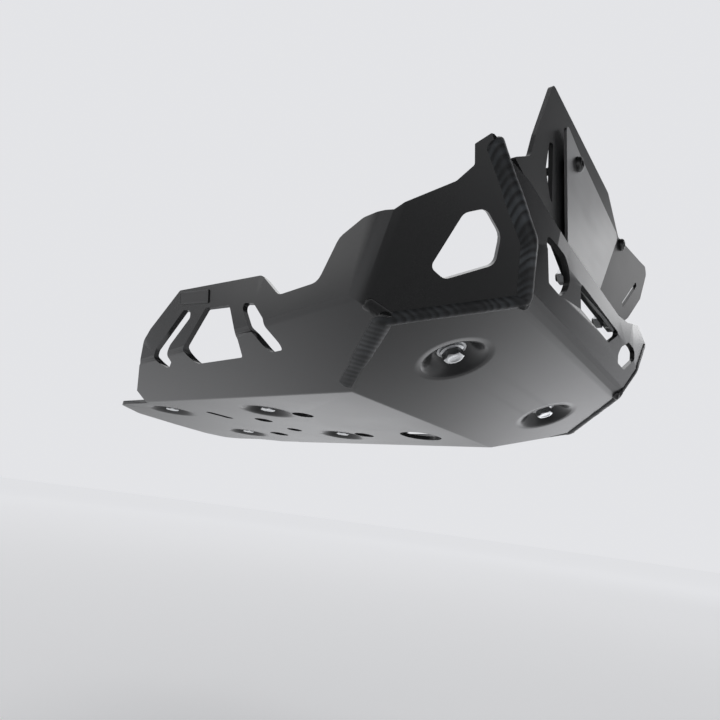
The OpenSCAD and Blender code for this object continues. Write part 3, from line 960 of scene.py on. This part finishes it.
@dataclass
class SocketScrew:
    """A round-headed screw with a hexagon socket, whose shank passes through the shield's plates.

    `across` and `up` are its place on the lip's outer face, and `seat` the height of its head's underside.
    """

    name: str
    across: float
    up: float
    seat: float
    length: float
    head: float = 5.4
    rise: float = 3.3
    rim: float = 0.6
    crown: float = 2.7
    socket: float = 1.95
    socket_floor: float = 0.35
    shank: float = 3.0
    plain: float = 9.0
    pitch: float = 1.0
    thread_depth: float = 0.5
    dome_steps: int = 9
    columns: int = 60
    sharp: float = 28.0

    def build(self, finishes: Finishes) -> bpy.types.Object:
        """Makes the screw: its head is a low dome, the quarter of an ellipse from rim to crown."""
        seat, head, shank, socket = self.seat, self.head, self.shank, self.socket
        top, floor, end = seat + self.rise, seat + self.socket_floor * self.rise, seat - self.length
        thread = Thread(seat - self.plain, end + 0.85, self.pitch, self.thread_depth)
        turn = np.linspace(0.0, math.pi / 2, self.dome_steps)
        heights = seat + self.rim + (self.rise - self.rim) * np.cos(turn)
        dome = list(zip(heights, self.crown + (head - self.crown) * np.sin(turn)))
        recess = [
            (floor, 0.6, NO_LIMIT), (floor, NO_LIMIT, socket),
            (top - 0.3, NO_LIMIT, socket), (top - 0.02, NO_LIMIT, socket + 0.25),
        ]
        under = [(seat + 0.1, head), (seat, head - 0.1), (seat, shank)]
        threaded = [(height, shank) for height in thread.heights(end + 0.9)]
        point = [(end + 0.8, shank), (end, shank - 0.7), (end, 0.8)]
        rows = np.array(recess + round_rows(dome + under + threaded + point))
        grid = turned(rows, self.columns, thread) + (self.across, self.up, 0.0)
        grid = carried(grid, *lip_frame())
        piece = finished(surface(self.name + "_threaded", grid, self.sharp), finishes.black)
        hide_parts(self.name)
        return piece


# Shield and plate


def lip_frame() -> tuple[np.ndarray, np.ndarray]:
    """Origin and axes of the lip's outer face: across, up the slope, forward."""
    lean = math.radians(90.0 + LIP_LEAN)
    foot_y = PANEL_FOOT_Y - (LIP_Z - PANEL_FOOT_Z) * math.tan(math.radians(PANEL_LEAN))
    axes = [[1, 0, 0], [0, math.cos(lean), math.sin(lean)], [0, -math.sin(lean), math.cos(lean)]]
    return np.array([0.0, foot_y, LIP_Z]), np.array(axes)


@dataclass
class UpperShield:
    """The bare face plate and the coated carrier behind it, with their screws, rings and nuts.

    A screw has its distance across, its height, the height of its seat over the lip, and its length.
    """

    rings: tuple[str, ...] = ("shield_ring", "shield_foot_ring_right", "shield_foot_ring_left")
    nuts: tuple[str, ...] = ("shield_nut_right", "shield_nut_left")
    screws: tuple[tuple[str, float, float, float, float], ...] = (
        ("shield_screw_right", -68.0, 172.0, -4.0, 26.0),
        ("shield_screw_left", 69.0, 179.0, -8.0, 20.0),
    )

    def build(self, finishes: Finishes) -> None:
        """Dresses the plates and makes the screws."""
        repaint("shield_face", finishes.bare)
        repaint("shield_carrier", finishes.matt)
        for ring in self.rings:
            repaint(ring, finishes.steel)
        for nut in self.nuts:
            repaint(nut, finishes.zinc)
        for name, across, z, seat, length in self.screws:
            up = (z - LIP_Z) / math.cos(math.radians(LIP_LEAN))
            SocketScrew(name, across, up, seat, length).build(finishes)


@dataclass
class BarePlate:
    """A small blank plate with a raised rim on the right wing, in line with the wing's top edge.

    Its ends are a run and a height on the wing. `wing` is three points of the wing's outer face, and
    `profile` has the inset and the height of each ring.
    """

    front_end: tuple[float, float] = (95.4, 61.3)
    rear_end: tuple[float, float] = (138.6, 67.1)
    half_height: float = 5.2
    corner: float = 1.4
    wing: tuple[Triple, Triple, Triple] = (
        (-188.2, -57.0, 34.5), (-164.85, 213.0, 23.5), (-202.0, -83.0, 76.3)
    )
    profile: Profile = (
        (0.0, -0.3), (0.0, 0.75), (0.10, 0.95), (0.25, 1.0), (0.75, 1.0),
        (0.90, 0.9), (1.05, 0.72), (2.0, 0.70), (4.0, 0.70),
    )
    around: int = 64
    sharp: float = 25.0

    def build(self, finishes: Finishes) -> bpy.types.Object:
        """Makes the plate: rings of a rounded rectangle, each at its own inset and height over the wing.

        A rounded rectangle's point at angle a is (sx (hx - r) + r cos a, sy (hy - r) + r sin a), with sx and
        sy the signs of cosine and sine, hx and hy half its sides and r its corner radius.
        """
        normal = plane_normal(*self.wing, (-1, 0, 0))
        level = normal @ np.array(self.wing[0])
        low, high = (
            np.array([(level - normal[1] * y - normal[2] * z) / normal[0], y, z])
            for y, z in (self.front_end, self.rear_end)
        )
        along = unit(high - low)
        across = np.cross(normal, along)
        half = np.array([np.linalg.norm(high - low) / 2, self.half_height])
        angle = (np.arange(self.around) + 0.5) * 2 * math.pi / self.around
        circle = np.stack([np.cos(angle), np.sin(angle)], axis=-1)
        outline = np.sign(circle) * (half - self.corner) + self.corner * circle
        insets, heights = (column[:, None] for column in np.array(self.profile).T)
        flat = outline[None] * (1 - insets / half)[:, None, :]
        grid = (low + high) / 2 + flat[..., :1] * along + flat[..., 1:] * across
        grid = grid + heights[..., None] * normal
        return finished(surface("blank_plate", grid, self.sharp), finishes.label)


# Stage


@dataclass(frozen=True)
class Lamp:
    """An oblong soft lamp: its direction and distance from the part, its sides and its power in watts."""

    name: str
    toward: Triple
    distance: float
    size: tuple[float, float]
    power: float

    def hang(self, target: Triple) -> None:
        """Hangs the lamp so that it faces the target."""
        light = bpy.data.lights.new(self.name, "AREA")
        light.shape = "RECTANGLE"
        light.size, light.size_y = self.size
        light.energy = self.power
        lamp = bpy.data.objects.new(self.name, light)
        direction = Vector(self.toward).normalized()
        lamp.location = Vector(target) + direction * self.distance
        lamp.rotation_euler = direction.to_track_quat("Z", "Y").to_euler()
        bpy.context.collection.objects.link(lamp)


@dataclass
class Studio:
    """Pale floor, soft lamps, a plain pale world and the camera, in metres in the part's frame.

    `eye` is the camera's place, and `right`, `down` and `forward` are its axes. Gloss sees the world `pale`
    on the side that `pale_side` points to and `dark` on the other, with a soft edge between.
    """

    floor: float = -0.30
    reach: float = 12.0
    slab: float = 0.02
    middle: float = 0.02
    floor_rings: int = 24
    floor_columns: int = 64
    floor_sharp: float = 60.0
    lens: float = 26.25
    sensor: float = 36.0
    clip: tuple[float, float] = (0.01, 50.0)
    eye: Triple = (-0.39368, -0.37232, -0.08158)
    right: Triple = (0.61128208, -0.78123421, 0.12652007)
    down: Triple = (0.29514993, 0.07670729, -0.95236679)
    forward: Triple = (0.73431651, 0.61950715, 0.27747101)
    target: Triple = (0.0, 0.0, 0.08)
    pale: float = 0.80
    dark: float = 0.04
    pale_side: Triple = (0.485, 0.875, 0.0)
    edge: tuple[float, float] = (-0.09, 0.11)
    fill: float = 0.20
    windows: tuple[Patch, ...] = (
        Patch((0.96, 0.16, 0.12), 0.05, 0.28, 3.2),
        Patch((-0.70, 0.70, 0.05), 0.30, 0.80, -0.45),
    )
    lamps: tuple[Lamp, ...] = (
        Lamp("front_lamp", (0.867, -0.265, 0.423), 2.2, (0.7, 0.5), 1.6),
        Lamp("side_lamp", (-0.80, 0.60, 0.25), 2.4, (1.6, 1.2), 5.0),
        Lamp("top_lamp", (0.40, 0.50, 1.0), 2.8, (2.4, 2.4), 22.0),
    )

    def ground(self, finishes: Finishes) -> None:
        """The floor: a thin closed disc, whose rings widen away from the part. Its lower rim is the last."""
        radius = self.reach * np.append(np.linspace(self.middle, 1.0, self.floor_rings) ** 2, 1.0)
        height = np.append(np.full(self.floor_rings, self.floor), self.floor - self.slab)
        angle = np.linspace(0, 2 * math.pi, self.floor_columns, endpoint=False)
        grid = rings(radius[:, None], height[:, None], angle) / MM + (0.0, CENTRE_Y, 0.0)
        piece = surface("studio_floor", grid, self.floor_sharp)
        piece.data.materials.append(finishes.paper)

    def world(self) -> None:
        """A pale world to the eye. Gloss sees its dark side and soft windows, and all else a soft fill."""
        graph = Graph(bpy.data.worlds.new("studio_world"))
        toward = graph.node("ShaderNodeTexCoord", out="Generated")
        ahead = graph.vector("DOT_PRODUCT", toward, self.pale_side, out="Value")
        mirrored = ahead.step(*self.edge) * (self.pale - self.dark) + self.dark
        mirrored = sum((window.over(graph, toward) for window in self.windows), mirrored)
        eye = graph.eye()
        strength = eye * self.pale + (1 - eye) * mirrored.math("MAXIMUM", 0.0)
        seen = graph.node("ShaderNodeBackground", None, {"Color": COOL_WHITE, "Strength": strength})
        fill = graph.node("ShaderNodeBackground", None, {"Color": COOL_WHITE, "Strength": self.fill})
        direct = eye.math("MAXIMUM", graph.gloss())
        mixed = graph.node("ShaderNodeMixShader", None, {0: direct, 1: fill, 2: seen})
        graph.node("ShaderNodeOutputWorld", None, {"Surface": mixed})
        bpy.context.scene.world = graph.owner

    def camera(self) -> None:
        """The camera at the photograph's viewpoint."""
        data = bpy.data.cameras.new("camera")
        data.sensor_width, data.lens = self.sensor, self.lens
        data.clip_start, data.clip_end = self.clip
        camera = bpy.data.objects.new("camera", data)
        columns = (self.right, -Vector(self.down), -Vector(self.forward), self.eye)
        matrix = Matrix.Identity(4)
        for column, values in enumerate(columns):
            for row in range(3):
                matrix[row][column] = values[row]
        camera.matrix_world = matrix
        bpy.context.collection.objects.link(camera)
        bpy.context.scene.camera = camera

    def build(self, finishes: Finishes) -> None:
        """Sets up the whole stage."""
        self.camera()
        self.ground(finishes)
        self.world()
        for lamp in self.lamps:
            lamp.hang(self.target)
        bpy.context.scene.view_settings.view_transform = "Standard"


def main() -> None:
    """Builds the stage and the part's looks, one sub-assembly after the other."""
    logging.basicConfig(level=logging.INFO, format="%(message)s")
    finishes = Finishes()
    for assembly in (Studio(), GuardSheet(), WeldBeads(), BoltSet(), UpperShield(), BarePlate()):
        LOG.info("building %s", type(assembly).__name__)
        assembly.build(finishes)


if __name__ == "__main__":
    main()
